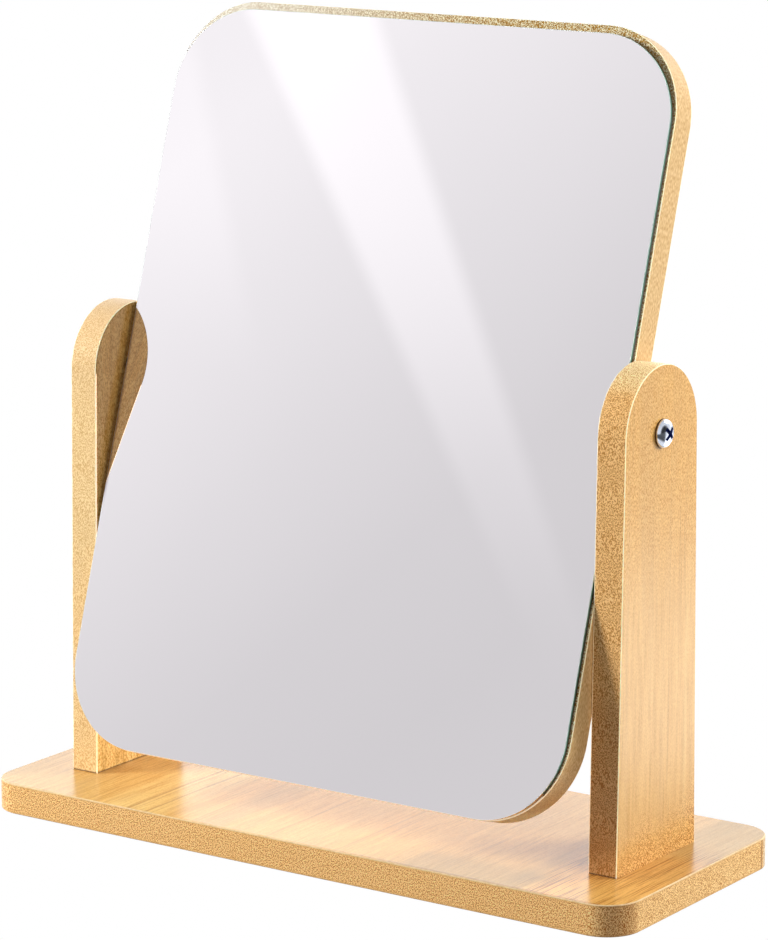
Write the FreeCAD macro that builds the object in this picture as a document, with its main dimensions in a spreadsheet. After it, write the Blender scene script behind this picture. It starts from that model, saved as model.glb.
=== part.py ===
import FreeCAD, Part
import Sketcher
import math
import os

# Table mirror on a stand. Millimetres, +Z up, +X to the right, the front faces -Y.
# The origin is the centre of the base board's underside.

Vector = FreeCAD.Vector
Constraint = Sketcher.Constraint

# Driving dimensions: alias, value, what it is.
DIMENSIONS = (
    ("board_thickness", 12.0, "base, posts and mirror board are cut from one board"),
    ("arris_radius", 0.6, "rounding of every board's outer edges"),
    ("base_end_margin", 19.15, "from a post's outer face to the end of the base"),
    ("base_depth", 115.0, "front to back"),
    ("base_corner_radius", 14.0, "corners of the base, seen from above"),
    ("post_foot_width", 55.4, "front to back, at the base"),
    ("post_top_radius", 24.8, "half-round top of each post, centred on the pivot"),
    ("mirror_width", 224.6, "mirror board"),
    ("mirror_height", 292.0, "mirror board"),
    ("mirror_corner_radius", 34.0, "mirror board"),
    ("mirror_drop", 1.7, "the mirror board's centre hangs this far below the pivot"),
    ("mirror_tilt", 17.2, "degrees the top leans back at rest"),
    ("swing_gap", 11.1, "from the upright mirror board down to the base"),
    ("glass_thickness", 2.0, "silvered glass"),
    ("glass_margin_left", 1.6, "board showing beside the glass"),
    ("glass_margin_right", 0.4, "board showing beside the glass"),
    ("glass_margin_top", 3.4, "board showing above the glass"),
    ("glass_margin_bottom", 0.4, "board showing below the glass"),
    ("glass_corner_radius", 33.0, "corners of the glass"),
    ("glass_arris", 0.3, "ground edge of the glass"),
    ("tape_thickness", 0.6, "mounting tape between board and glass"),
    ("tape_width", 15.0, "mounting tape"),
    ("tape_inset", 3.0, "from the edge of the glass to the tape"),
    ("running_gap", 0.05, "between faces that turn on each other"),
    ("bore_clearance", 0.075, "round a pivot screw in its bore, on the radius"),
    ("washer_thickness", 0.5, "friction washer"),
    ("washer_diameter", 12.0, "friction washer"),
    ("pivot_screw_diameter", 5.0, "machine screw"),
    ("pivot_screw_length", 25.0, "under the head"),
    ("pivot_head_diameter", 11.0, "pan head"),
    ("pivot_head_height", 3.4, "pan head"),
    ("pivot_head_rim", 1.0, "straight side of the head, under the dome"),
    ("pivot_recess_span", 6.2, "cross recess, tip to tip"),
    ("pivot_recess_slot", 1.5, "width of one arm of the recess"),
    ("pivot_recess_depth", 2.2, "cross recess"),
    ("insert_diameter", 8.0, "threaded insert in the mirror board"),
    ("insert_length", 13.0, "threaded insert"),
    ("insert_runout", 2.0, "hole left beyond the insert"),
    ("wood_screw_diameter", 4.0, "screws up into the posts"),
    ("wood_screw_length", 35.0, "whole length"),
    ("wood_screw_point", 4.0, "length of the point"),
    ("wood_head_diameter", 8.0, "countersunk head, 90 degrees"),
    ("wood_recess_span", 4.6, "cross recess, tip to tip"),
    ("wood_recess_slot", 1.2, "width of one arm of the recess"),
    ("wood_recess_depth", 1.6, "cross recess"),
    ("wood_screw_spacing", 30.0, "between the two screws of a post"),
    ("wood_screw_sink", 0.3, "head below the base's underside"),
    ("wood_screw_clearance", 0.2, "round the screw in the base, on the radius"),
    ("wood_screw_runout", 2.0, "hole left beyond the point"),
)

# Places worked out from them, as expressions on the sheet.
MIRROR_BELOW = "(sizes.mirror_height / 2 + sizes.mirror_drop)"
MIRROR_ABOVE = "(sizes.mirror_height / 2 - sizes.mirror_drop)"
PIVOT_RISE = f"({MIRROR_BELOW} + sizes.swing_gap)"
PIVOT_HEIGHT = f"(sizes.board_thickness + {PIVOT_RISE})"
POST_INNER = "(sizes.mirror_width / 2 + sizes.running_gap + sizes.washer_thickness)"
POST_OUTER = f"({POST_INNER} + sizes.board_thickness)"
POST_MIDDLE = f"({POST_INNER} + sizes.board_thickness / 2)"
BASE_LENGTH = f"(2 * ({POST_OUTER} + sizes.base_end_margin))"
HEAD_SEAT = f"({POST_OUTER} + sizes.running_gap)"
GLASS_LEFT = "(-sizes.mirror_width / 2 + sizes.glass_margin_left)"
GLASS_RIGHT = "(sizes.mirror_width / 2 - sizes.glass_margin_right)"
GLASS_BOTTOM = f"(-{MIRROR_BELOW} + sizes.glass_margin_bottom)"
GLASS_TOP = f"({MIRROR_ABOVE} - sizes.glass_margin_top)"
TAPE_BACK = "(sizes.board_thickness / 2)"
GLASS_BACK = f"({TAPE_BACK} + sizes.tape_thickness)"
BORE_RADIUS = "(sizes.pivot_screw_diameter / 2 + sizes.bore_clearance)"
SCREW_HOLE_RADIUS = "(sizes.wood_screw_diameter / 2 + sizes.wood_screw_clearance)"
PILOT_DEPTH = "(sizes.wood_screw_length + sizes.wood_screw_sink + sizes.wood_screw_runout - sizes.board_thickness)"

doc = FreeCAD.newDocument("table_mirror")
sheet = doc.addObject("Spreadsheet::Sheet", "sizes")
for row, (alias, value, note) in enumerate(DIMENSIONS, start=1):
    sheet.set(f"A{row}", str(value))
    sheet.setAlias(f"A{row}", alias)
    sheet.set(f"B{row}", note)
doc.recompute()

parts = []


def size(expression):
    """The present value of an expression on the sheet."""
    return float(sheet.evalExpression(expression.replace("sizes.", "")))


# ---- bodies, sketches and features

def add_body(name, x="0", z="0", flipped=False, tilted=False):
    """A body placed by expressions; flipped faces it to -X, tilted leans it with the mirror."""
    body = doc.addObject("PartDesign::Body", name)
    body.Label = name
    turn = FreeCAD.Rotation(Vector(0, 0, 1), 180 if flipped else 0)
    if tilted:
        turn = FreeCAD.Rotation(Vector(1, 0, 0), -size("sizes.mirror_tilt"))
    body.Placement = FreeCAD.Placement(Vector(size(x), 0, size(z)), turn)
    body.setExpression("Placement.Base.x", x)
    body.setExpression("Placement.Base.z", z)
    if tilted:
        body.setExpression("Placement.Rotation.Angle", "-sizes.mirror_tilt")
    parts.append(body)
    return body


def add_sketch(body, name, plane, offset="0"):
    """A sketch on one of the body's origin planes, moved along the plane's normal."""
    sketch = body.newObject("Sketcher::SketchObject", f"{body.Name}_{name}")
    origin_plane = [item for item in body.Origin.OriginFeatures if item.Role == plane][0]
    sketch.AttachmentSupport = [(origin_plane, "")]
    sketch.MapMode = "FlatFace"
    sketch.setExpression("AttachmentOffset.Base.z", offset)
    return sketch


def pin(sketch, name, constraint, expression):
    """Add a named constraint whose value follows an expression."""
    sketch.renameConstraint(sketch.addConstraint(constraint), name)
    sketch.setExpression(f"Constraints.{name}", expression)


def add_point(sketch, name, curve, end, across, up):
    """Hold one end of a curve at a place given by two expressions."""
    pin(sketch, f"{name}_x", Constraint("DistanceX", -1, 1, curve, end, size(across)), across)
    pin(sketch, f"{name}_y", Constraint("DistanceY", -1, 1, curve, end, size(up)), up)


def add_polygon(sketch, corners):
    """A closed outline through corners, each given by two expressions."""
    points = [Vector(size(across), size(up), 0) for across, up in corners]
    first = sketch.GeometryCount
    for index, point in enumerate(points):
        sketch.addGeometry(Part.LineSegment(point, points[(index + 1) % len(points)]), False)
    for index, (across, up) in enumerate(corners):
        following = first + (index + 1) % len(corners)
        sketch.addConstraint(Constraint("Coincident", first + index, 2, following, 1))
        add_point(sketch, f"corner{index}", first + index, 1, across, up)


def add_rectangle(sketch, left, right, bottom, top):
    add_polygon(sketch, ((left, bottom), (right, bottom), (right, top), (left, top)))


def add_circle(sketch, name, radius, across="0", up="0"):
    centre = Vector(size(across), size(up), 0)
    index = sketch.addGeometry(Part.Circle(centre, Vector(0, 0, 1), size(radius)), False)
    pin(sketch, f"{name}_radius", Constraint("Radius", index, size(radius)), radius)
    add_point(sketch, name, index, 3, across, up)


def add_pad(body, sketch, length, symmetric=False):
    pad = body.newObject("PartDesign::Pad", f"{sketch.Name}_pad")
    pad.Profile = sketch
    pad.SideType = "Symmetric" if symmetric else "One side"
    pad.setExpression("Length", length)
    sketch.Visibility = False
    doc.recompute()
    return pad


def add_pocket(body, sketch, depth, reverse=False):
    """Cut to a depth, and stop if the cut took nothing away."""
    before = body.Shape.Volume
    pocket = body.newObject("PartDesign::Pocket", f"{sketch.Name}_pocket")
    pocket.Profile = sketch
    pocket.Reversed = reverse
    pocket.setExpression("Length", depth)
    sketch.Visibility = False
    doc.recompute()
    if body.Shape.Volume >= before:
        raise RuntimeError(f"{pocket.Name} cuts nothing")
    return pocket


def add_revolution(body, sketch, axis):
    turned = body.newObject("PartDesign::Revolution", f"{sketch.Name}_turned")
    turned.Profile = sketch
    turned.ReferenceAxis = (sketch, [axis])
    turned.Angle = 360
    sketch.Visibility = False
    doc.recompute()
    return turned


def dress(body, kind, amount, chosen):
    """Round or chamfer the edges of the body's tip that pass the test."""
    tip = body.Tip
    names = [f"Edge{index}" for index, edge in enumerate(tip.Shape.Edges, start=1) if chosen(edge)]
    feature = body.newObject(f"PartDesign::{kind}", f"{body.Name}_{kind.lower()}{len(body.Group)}")
    feature.Base = (tip, names)
    feature.setExpression("Radius" if kind == "Fillet" else "Size", amount)
    doc.recompute()
    return feature


# ---- tests that pick edges, in the body's own frame

def runs_along(axis):
    """Straight edges parallel to an axis: 0, 1 or 2 for X, Y or Z."""
    def test(edge):
        ends = [vertex.Point for vertex in edge.Vertexes]
        if len(ends) != 2 or edge.Curve.TypeId != "Part::GeomLine":
            return False
        run = ends[1] - ends[0]
        return abs(run[axis]) > 0.999 * run.Length
    return test


def lies_at(axis, *levels):
    """Edges that lie in a plane across an axis, at one of the levels."""
    def test(edge):
        box = edge.BoundBox
        low = (box.XMin, box.YMin, box.ZMin)[axis]
        high = (box.XMax, box.YMax, box.ZMax)[axis]
        return any(abs(low - level) < 1e-4 and abs(high - level) < 1e-4 for level in levels)
    return test


def is_hole(edge):
    return edge.Curve.TypeId == "Part::GeomCircle" and edge.Closed


# ---- pieces shared by several bodies

def cut_cross(body, plane, level, span, slot, depth, turned=False, reverse=False):
    """A cross recess: two crossing slots, upright or turned to 45 degrees."""
    sketch = add_sketch(body, "recess", plane, level)
    reach = f"({span} / 2)"
    half = f"({slot} / 2)"
    arms = ((reach, half), (half, half), (half, reach))
    corners = []
    for quarter in range(4):
        for across, up in arms if quarter % 2 == 0 else arms[::-1]:
            corners.append((across if quarter in (0, 3) else f"(-{across})",
                            up if quarter in (0, 1) else f"(-{up})"))
    if turned:
        corners = [(f"(({across} - {up}) * sqrt(0.5))", f"(({across} + {up}) * sqrt(0.5))")
                   for across, up in corners]
    add_polygon(sketch, corners)
    add_pocket(body, sketch, depth, reverse)


# ---- the stand

def make_base():
    body = add_body("base_board")
    outline = add_sketch(body, "outline", "XY_Plane")
    half = f"({BASE_LENGTH} / 2)"
    add_rectangle(outline, f"-{half}", half, "-sizes.base_depth / 2", "sizes.base_depth / 2")
    add_pad(body, outline, "sizes.board_thickness")
    dress(body, "Fillet", "sizes.base_corner_radius", runs_along(2))
    dress(body, "Fillet", "sizes.arris_radius", lies_at(2, 0, size("sizes.board_thickness")))
    holes = add_sketch(body, "holes", "XY_Plane")
    for number, (side, row) in enumerate(screw_places()):
        add_circle(holes, f"hole{number}", SCREW_HOLE_RADIUS, side, row)
    add_pocket(body, holes, "sizes.board_thickness", reverse=True)
    sink = f"(sizes.wood_head_diameter / 2 + sizes.wood_screw_sink - {SCREW_HOLE_RADIUS})"
    bottom = lies_at(2, 0)
    dress(body, "Chamfer", sink, lambda edge: is_hole(edge) and bottom(edge))


def screw_places():
    """Where the four wood screws stand: left and right post, front and rear."""
    row = "(sizes.wood_screw_spacing / 2)"
    return [(side, place) for side in (f"-{POST_MIDDLE}", POST_MIDDLE) for place in (f"-{row}", row)]


def make_post(name, inner_face):
    """Tapered board with a half-round top. Its own origin is the foot's centre, on one face."""
    body = add_body(name, inner_face, "sizes.board_thickness")
    foot = size("sizes.post_foot_width") / 2
    radius = size("sizes.post_top_radius")
    rise = size(PIVOT_RISE)
    lean = math.acos(radius / math.hypot(foot, rise)) - math.atan2(rise, foot)
    touch = Vector(radius * math.cos(lean), rise + radius * math.sin(lean), 0)
    profile = add_sketch(body, "profile", "YZ_Plane")
    mirrored = Vector(-touch.x, touch.y, 0)
    profile.addGeometry(Part.LineSegment(Vector(-foot, 0, 0), Vector(foot, 0, 0)), False)
    profile.addGeometry(Part.LineSegment(Vector(foot, 0, 0), touch), False)
    profile.addGeometry(Part.Arc(touch, Vector(0, rise + radius, 0), mirrored), False)
    profile.addGeometry(Part.LineSegment(mirrored, Vector(-foot, 0, 0)), False)
    foot_line, right_side, top_arc, left_side = range(4)
    profile.addConstraint(Constraint("Coincident", foot_line, 2, right_side, 1))
    profile.addConstraint(Constraint("Tangent", right_side, 2, top_arc, 1))
    profile.addConstraint(Constraint("Tangent", top_arc, 2, left_side, 1))
    profile.addConstraint(Constraint("Coincident", left_side, 2, foot_line, 1))
    add_point(profile, "foot_left", foot_line, 1, "-sizes.post_foot_width / 2", "0")
    add_point(profile, "foot_right", foot_line, 2, "sizes.post_foot_width / 2", "0")
    add_point(profile, "pivot", top_arc, 3, "0", PIVOT_RISE)
    pin(profile, "top", Constraint("Radius", top_arc, radius), "sizes.post_top_radius")
    add_pad(body, profile, "sizes.board_thickness")
    faces = lies_at(0, 0, size("sizes.board_thickness"))
    foot_edge = lies_at(2, 0)
    dress(body, "Fillet", "sizes.arris_radius", lambda edge: faces(edge) and not foot_edge(edge))
    bore = add_sketch(body, "bore", "YZ_Plane")
    add_circle(bore, "bore", BORE_RADIUS, "0", PIVOT_RISE)
    add_pocket(body, bore, "sizes.board_thickness", reverse=True)
    pilots = add_sketch(body, "pilots", "XY_Plane")
    for number, row in enumerate(("-sizes.wood_screw_spacing / 2", "sizes.wood_screw_spacing / 2")):
        add_circle(pilots, f"pilot{number}", "sizes.wood_screw_diameter / 2", "sizes.board_thickness / 2", row)
    add_pocket(body, pilots, PILOT_DEPTH, reverse=True)


def make_wood_screw(name, side, row):
    """Countersunk wood screw, point up. Its own origin is the middle of the head's face."""
    body = add_body(name, side, "sizes.wood_screw_sink")
    body.setExpression("Placement.Base.y", row)
    profile = add_sketch(body, "profile", "XZ_Plane")
    shank = "sizes.wood_screw_diameter / 2"
    head = "sizes.wood_head_diameter / 2"
    add_polygon(profile, (("0", "0"), (head, "0"), (shank, f"{head} - {shank}"),
                          (shank, "sizes.wood_screw_length - sizes.wood_screw_point"),
                          ("0", "sizes.wood_screw_length")))
    add_revolution(body, profile, "V_Axis")
    cut_cross(body, "XY_Plane", "0", "sizes.wood_recess_span", "sizes.wood_recess_slot",
              "sizes.wood_recess_depth", reverse=True)


def make_washer(name, inner_face):
    body = add_body(name, inner_face, PIVOT_HEIGHT)
    ring = add_sketch(body, "ring", "YZ_Plane")
    add_circle(ring, "rim", "sizes.washer_diameter / 2")
    add_circle(ring, "hole", BORE_RADIUS)
    add_pad(body, ring, "sizes.washer_thickness")


# ---- the tilting mirror: every body here has its own origin on the pivot axis

def make_plate(name, back, thickness, left, right, bottom, top):
    """A rectangle in the mirror's plane, from a depth behind the glass forward."""
    body = add_body(name, "0", PIVOT_HEIGHT, tilted=True)
    outline = add_sketch(body, "outline", "XZ_Plane", back)
    add_rectangle(outline, left, right, bottom, top)
    add_pad(body, outline, thickness)
    return body


def make_mirror_board():
    half_width = "(sizes.mirror_width / 2)"
    half_thickness = "(sizes.board_thickness / 2)"
    body = make_plate("mirror_board", f"-{half_thickness}", "sizes.board_thickness",
                      f"-{half_width}", half_width, f"-{MIRROR_BELOW}", MIRROR_ABOVE)
    dress(body, "Fillet", "sizes.mirror_corner_radius", runs_along(1))
    level = size(half_thickness)
    dress(body, "Fillet", "sizes.arris_radius", lies_at(1, -level, level))
    depth = "(sizes.insert_length + sizes.insert_runout)"
    for side, sign in (("left", "-"), ("right", "")):
        socket = add_sketch(body, f"{side}_socket", "YZ_Plane", f"{sign}{half_width}")
        add_circle(socket, "socket", "sizes.insert_diameter / 2")
        add_pocket(body, socket, depth, reverse=(side == "left"))


def make_glass():
    body = make_plate("mirror_glass", GLASS_BACK, "sizes.glass_thickness",
                      GLASS_LEFT, GLASS_RIGHT, GLASS_BOTTOM, GLASS_TOP)
    dress(body, "Fillet", "sizes.glass_corner_radius", runs_along(1))
    front = -size(f"{GLASS_BACK} + sizes.glass_thickness")
    back = -size(GLASS_BACK)
    dress(body, "Chamfer", "sizes.glass_arris", lies_at(1, front, back))


def make_tapes():
    """Four strips in a frame: the upright pair stops short of the round corners."""
    inset = "sizes.tape_inset"
    inner = f"({inset} + sizes.tape_width)"
    corner = "sizes.glass_corner_radius"
    low, high = f"{GLASS_LEFT} + {corner}", f"{GLASS_RIGHT} - {corner}"
    foot, head = f"{GLASS_BOTTOM} + {corner}", f"{GLASS_TOP} - {corner}"
    strips = (
        ("top", low, high, f"{GLASS_TOP} - {inner}", f"{GLASS_TOP} - {inset}"),
        ("bottom", low, high, f"{GLASS_BOTTOM} + {inset}", f"{GLASS_BOTTOM} + {inner}"),
        ("left", f"{GLASS_LEFT} + {inset}", f"{GLASS_LEFT} + {inner}", foot, head),
        ("right", f"{GLASS_RIGHT} - {inner}", f"{GLASS_RIGHT} - {inset}", foot, head),
    )
    for side, *limits in strips:
        make_plate(f"glass_tape_{side}", TAPE_BACK, "sizes.tape_thickness", *limits)


def make_insert(name, inner_end):
    """Threaded insert, pressed into the edge of the mirror board."""
    body = add_body(name, "0", PIVOT_HEIGHT)
    ring = add_sketch(body, "ring", "YZ_Plane", inner_end)
    add_circle(ring, "rim", "sizes.insert_diameter / 2")
    add_circle(ring, "thread", "sizes.pivot_screw_diameter / 2")
    add_pad(body, ring, "sizes.insert_length")


def make_pivot_screw(name, seat, flipped):
    """Pan-head machine screw on the pivot axis. Its own origin is the middle of the head's underside."""
    body = add_body(name, seat, PIVOT_HEIGHT, flipped=flipped)
    shank = size("sizes.pivot_screw_diameter / 2")
    length = size("sizes.pivot_screw_length")
    edge = size("sizes.pivot_head_diameter / 2")
    rim = size("sizes.pivot_head_rim")
    crown = size("sizes.pivot_head_height")
    dome = ((crown - rim) ** 2 + edge ** 2) / (2 * (crown - rim))
    profile = add_sketch(body, "profile", "XY_Plane")
    corners = [Vector(crown, 0, 0), Vector(-length, 0, 0), Vector(-length, shank, 0),
               Vector(0, shank, 0), Vector(0, edge, 0), Vector(rim, edge, 0)]
    for start, end in zip(corners, corners[1:]):
        profile.addGeometry(Part.LineSegment(start, end), False)
    swing = math.asin(edge / dome) / 2
    middle = Vector(crown - dome + dome * math.cos(swing), dome * math.sin(swing), 0)
    profile.addGeometry(Part.Arc(corners[-1], middle, corners[0]), False)
    arc = len(corners) - 1
    for index in range(arc):
        ends = (index + 1, 1) if index + 1 < arc else (arc, 2)
        profile.addConstraint(Constraint("Coincident", index, 2, *ends))
    profile.addConstraint(Constraint("Coincident", arc, 1, 0, 1))
    places = (("sizes.pivot_head_height", "0"), ("-sizes.pivot_screw_length", "0"),
              ("-sizes.pivot_screw_length", "sizes.pivot_screw_diameter / 2"),
              ("0", "sizes.pivot_screw_diameter / 2"), ("0", "sizes.pivot_head_diameter / 2"))
    for index, (across, up) in enumerate(places):
        add_point(profile, f"corner{index}", index, 1, across, up)
    add_point(profile, "rim", arc - 1, 2, "sizes.pivot_head_rim", "sizes.pivot_head_diameter / 2")
    profile.addConstraint(Constraint("PointOnObject", arc, 3, -1))
    add_revolution(body, profile, "H_Axis")
    cut_cross(body, "YZ_Plane", "sizes.pivot_head_height", "sizes.pivot_recess_span",
              "sizes.pivot_recess_slot", "sizes.pivot_recess_depth", turned=True)


def make_stand():
    make_base()
    make_post("left_post", f"-{POST_OUTER}")
    make_post("right_post", POST_INNER)
    names = ("left_post_front_screw", "left_post_rear_screw", "right_post_front_screw", "right_post_rear_screw")
    for name, (side, row) in zip(names, screw_places()):
        make_wood_screw(name, side, row)
    make_washer("left_friction_washer", f"-{POST_INNER}")
    make_washer("right_friction_washer", f"{POST_INNER} - sizes.washer_thickness")


def make_mirror():
    make_mirror_board()
    make_glass()
    make_tapes()
    make_insert("left_pivot_insert", "-sizes.mirror_width / 2")
    make_insert("right_pivot_insert", "sizes.mirror_width / 2 - sizes.insert_length")
    make_pivot_screw("left_pivot_screw", f"-{HEAD_SEAT}", flipped=True)
    make_pivot_screw("right_pivot_screw", HEAD_SEAT, flipped=False)


def check_document():
    for item in doc.Objects:
        if "Invalid" in item.State or "Error" in item.State:
            raise RuntimeError(f"{item.Name} failed: {item.State}")
    for body in parts:
        if body.Shape.isNull() or not body.Shape.isValid():
            raise RuntimeError(f"{body.Label} has no valid shape")


def write_parts():
    os.makedirs("parts", exist_ok=True)
    for body in parts:
        body.Shape.exportStep(f"parts/{body.Label}.step")
        print(f"{body.Label:26s} {body.Shape.Volume:12.1f} mm3, {len(body.Shape.Solids)} solid")


make_stand()
make_mirror()
doc.recompute()
check_document()
write_parts()
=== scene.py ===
import math

import bmesh
import bpy
from mathutils import Matrix, Vector


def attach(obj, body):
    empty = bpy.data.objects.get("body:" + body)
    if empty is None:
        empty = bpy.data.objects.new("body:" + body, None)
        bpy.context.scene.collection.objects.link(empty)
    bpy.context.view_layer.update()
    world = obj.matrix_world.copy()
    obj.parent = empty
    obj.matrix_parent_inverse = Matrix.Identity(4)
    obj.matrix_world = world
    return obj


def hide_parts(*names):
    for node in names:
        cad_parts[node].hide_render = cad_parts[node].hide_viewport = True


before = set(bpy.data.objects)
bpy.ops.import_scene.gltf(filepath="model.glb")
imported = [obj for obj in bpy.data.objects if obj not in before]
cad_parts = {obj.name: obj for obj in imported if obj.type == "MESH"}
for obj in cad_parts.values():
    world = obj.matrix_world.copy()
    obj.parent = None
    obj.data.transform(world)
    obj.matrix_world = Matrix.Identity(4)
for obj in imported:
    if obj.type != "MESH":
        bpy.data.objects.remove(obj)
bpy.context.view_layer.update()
scene = bpy.context.scene
print("frame loaded:", len(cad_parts), "nodes")


# small helpers and places, used by every piece


def mm(value):
    return value / 1000


pivotHeight = mm(170.8)  # the line through both pivot screws
tilt = math.radians(17.2)  # the mirror's lean at rest
leanBack = (tilt, 0, 0)  # turns Object coordinates upright for the mirror's pieces


def clearSelection():
    bpy.ops.object.select_all(action="DESELECT")


def nameNew(name):
    piece = bpy.context.object  # what the last operator added
    piece.name = name
    piece.data.name = name
    return piece


def makeActive(piece):
    clearSelection()
    piece.select_set(True)
    bpy.context.view_layer.objects.active = piece


def settle(piece):
    # turns, scale and place go into the mesh, so the object ends at the origin
    makeActive(piece)
    bpy.ops.object.transform_apply(location=True, rotation=True, scale=True)


def openMesh(piece, kind="EDGE"):
    makeActive(piece)
    bpy.ops.object.mode_set(mode="EDIT")
    bpy.ops.mesh.select_mode(type=kind)


def closeMesh():
    bpy.ops.object.mode_set(mode="OBJECT")


def pick(piece, kind, wanted):
    # selects the vertices, edges or faces that pass the test, in edit mode
    bpy.ops.mesh.select_mode(type=kind)
    bpy.ops.mesh.select_all(action="DESELECT")
    mesh = bmesh.from_edit_mesh(piece.data)
    for item in {"VERT": mesh.verts, "EDGE": mesh.edges, "FACE": mesh.faces}[kind]:
        if wanted(item):
            item.select_set(True)
    mesh.select_flush_mode()
    bmesh.update_edit_mesh(piece.data)


def faceSlots(piece, materials, choose):
    # one slot for each material; choose gives a face's slot from its centre and normal
    for material in materials:
        piece.data.materials.append(material)
    for face in piece.data.polygons:
        face.material_index = choose(face.center, face.normal)


def applyModifier(piece, kind, **settings):
    makeActive(piece)
    modifier = piece.modifiers.new(kind.lower(), kind)
    for key, value in settings.items():
        setattr(modifier, key, value)
    bpy.ops.object.modifier_apply(modifier=modifier.name)


def cutWith(piece, cutter):
    applyModifier(piece, "BOOLEAN", object=cutter, operation="DIFFERENCE", solver="EXACT")
    bpy.data.objects.remove(cutter)


def drillAcross(piece, radius, depth, spot):
    # a round hole along X
    clearSelection()
    bpy.ops.mesh.primitive_cylinder_add(
        vertices=48, radius=radius, depth=depth, rotation=(0, math.radians(90), 0), location=spot
    )
    drill = nameNew("drill")
    settle(drill)
    cutWith(piece, drill)


def smoothFaces(piece, degrees=50):
    makeActive(piece)
    bpy.ops.object.shade_smooth_by_angle(angle=math.radians(degrees))
    applyModifier(piece, "WEIGHTED_NORMAL", keep_sharp=True, weight=80)


# materials


def times(colour, share):
    return tuple(a * b for a, b in zip(colour, share))


def startMaterial(name, **sockets):
    material = bpy.data.materials.new(name)
    material.use_nodes = True
    shader = material.node_tree.nodes["Principled BSDF"]
    for key, value in sockets.items():
        shader.inputs[key.replace("_", " ")].default_value = value
    return material, material.node_tree, shader


def node(tree, kind, inputs=None, **settings):
    made = tree.nodes.new(kind)
    for key, value in settings.items():
        setattr(made, key, value)
    for key, value in (inputs or {}).items():
        if hasattr(value, "is_output"):
            tree.links.new(value, made.inputs[key])
        else:
            made.inputs[key].default_value = value
    return made


def place(tree, turn=(0, 0, 0), stretch=(1, 1, 1), move=(0, 0, 0)):
    # Object coordinates, turned with the piece and stretched along its grain
    coordinates = node(tree, "ShaderNodeTexCoord")
    turned = node(tree, "ShaderNodeMapping", {"Vector": coordinates.outputs["Object"], "Rotation": turn})
    return node(
        tree, "ShaderNodeMapping", {"Vector": turned.outputs["Vector"], "Location": move, "Scale": stretch}
    ).outputs["Vector"]


def axes(tree, turn=(0, 0, 0)):
    return node(tree, "ShaderNodeSeparateXYZ", {"Vector": place(tree, turn)}).outputs


def noise(tree, vector, scale, detail, roughness=0.5, distortion=0.0):
    return node(
        tree,
        "ShaderNodeTexNoise",
        {"Vector": vector, "Scale": scale, "Detail": detail, "Roughness": roughness, "Distortion": distortion},
    ).outputs["Fac"]


def ramp(tree, factor, stops):
    made = node(tree, "ShaderNodeValToRGB", {"Fac": factor})
    while len(made.color_ramp.elements) < len(stops):
        made.color_ramp.elements.new(1.0)
    for element, (position, colour) in zip(made.color_ramp.elements, stops):
        element.position = position
        element.color = (*colour, 1.0) if hasattr(colour, "__len__") else (colour, colour, colour, 1.0)
    return made.outputs["Color"]


def blendColour(tree, factor, first, second, how="MIX"):
    made = node(tree, "ShaderNodeMix", data_type="RGBA", blend_type=how)
    for key, value in ((0, factor), (6, first), (7, second)):
        if hasattr(value, "is_output"):
            tree.links.new(value, made.inputs[key])
        else:
            made.inputs[key].default_value = (*value, 1.0) if hasattr(value, "__len__") else value
    return made.outputs[2]


def sums(tree, how, *values):
    made = node(tree, "ShaderNodeMath", operation=how)
    for index, value in enumerate(values):
        if hasattr(value, "is_output"):
            tree.links.new(value, made.inputs[index])
        else:
            made.inputs[index].default_value = value
    return made.outputs[0]


def product(tree, *factors):
    total = factors[0]
    for factor in factors[1:]:
        total = sums(tree, "MULTIPLY", total, factor)
    return total


def mixLevels(tree, factor, low, high):
    return node(tree, "ShaderNodeMix", {0: factor, 2: low, 3: high}, data_type="FLOAT").outputs[0]


def softStep(tree, value, low, high):
    # 0 at low and 1 at high, with soft ends
    return node(
        tree, "ShaderNodeMapRange", {"Value": value, 1: low, 2: high}, interpolation_type="SMOOTHSTEP"
    ).outputs[0]


def bumpInto(tree, shader, height, strength, distance):
    made = node(tree, "ShaderNodeBump", {"Height": height, "Strength": strength, "Distance": distance})
    tree.links.new(made.outputs["Normal"], shader.inputs["Normal"])


# printed wood-grain foil: along is the axis of the grain
foilSet = {
    "streaks": (0.05, 620),  # stretch along the grain, and scale
    "tone": (0.07, 70),
    "lines": (0.015, 900),
    "where": (0.09, 50),
    "grit": (0.5, 2300),
    "dots": 2400,
    "deep": (0.87, 0.84, 0.78),
    "light": (1.08, 1.11, 1.18),
    "line": (0.62, 0.54, 0.46),
    "band": (0.85, 0.87, 1.0),
    # painted shade and bounce: the deeper, more orange colour towards a post's foot
    "foot": (0.80, 0.62, 0.42),
    "dot": (0.40, 0.23, 0.08),
    "paleDot": (1.16, 1.22, 1.42),
    "upper": (0.91, 0.90, 0.93),
    "speck": (0.26, 0.38, 0.56),
    "toneShare": 0.45,
    "lineShare": 0.4,
    "plainStreak": 0.35,
    "plainSpeckle": 0.4,
    "footLean": -0.2,
    "footWander": mm(20),
    "gloss": 0.24,
    "bump": (0.04, mm(0.2)),
}


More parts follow.
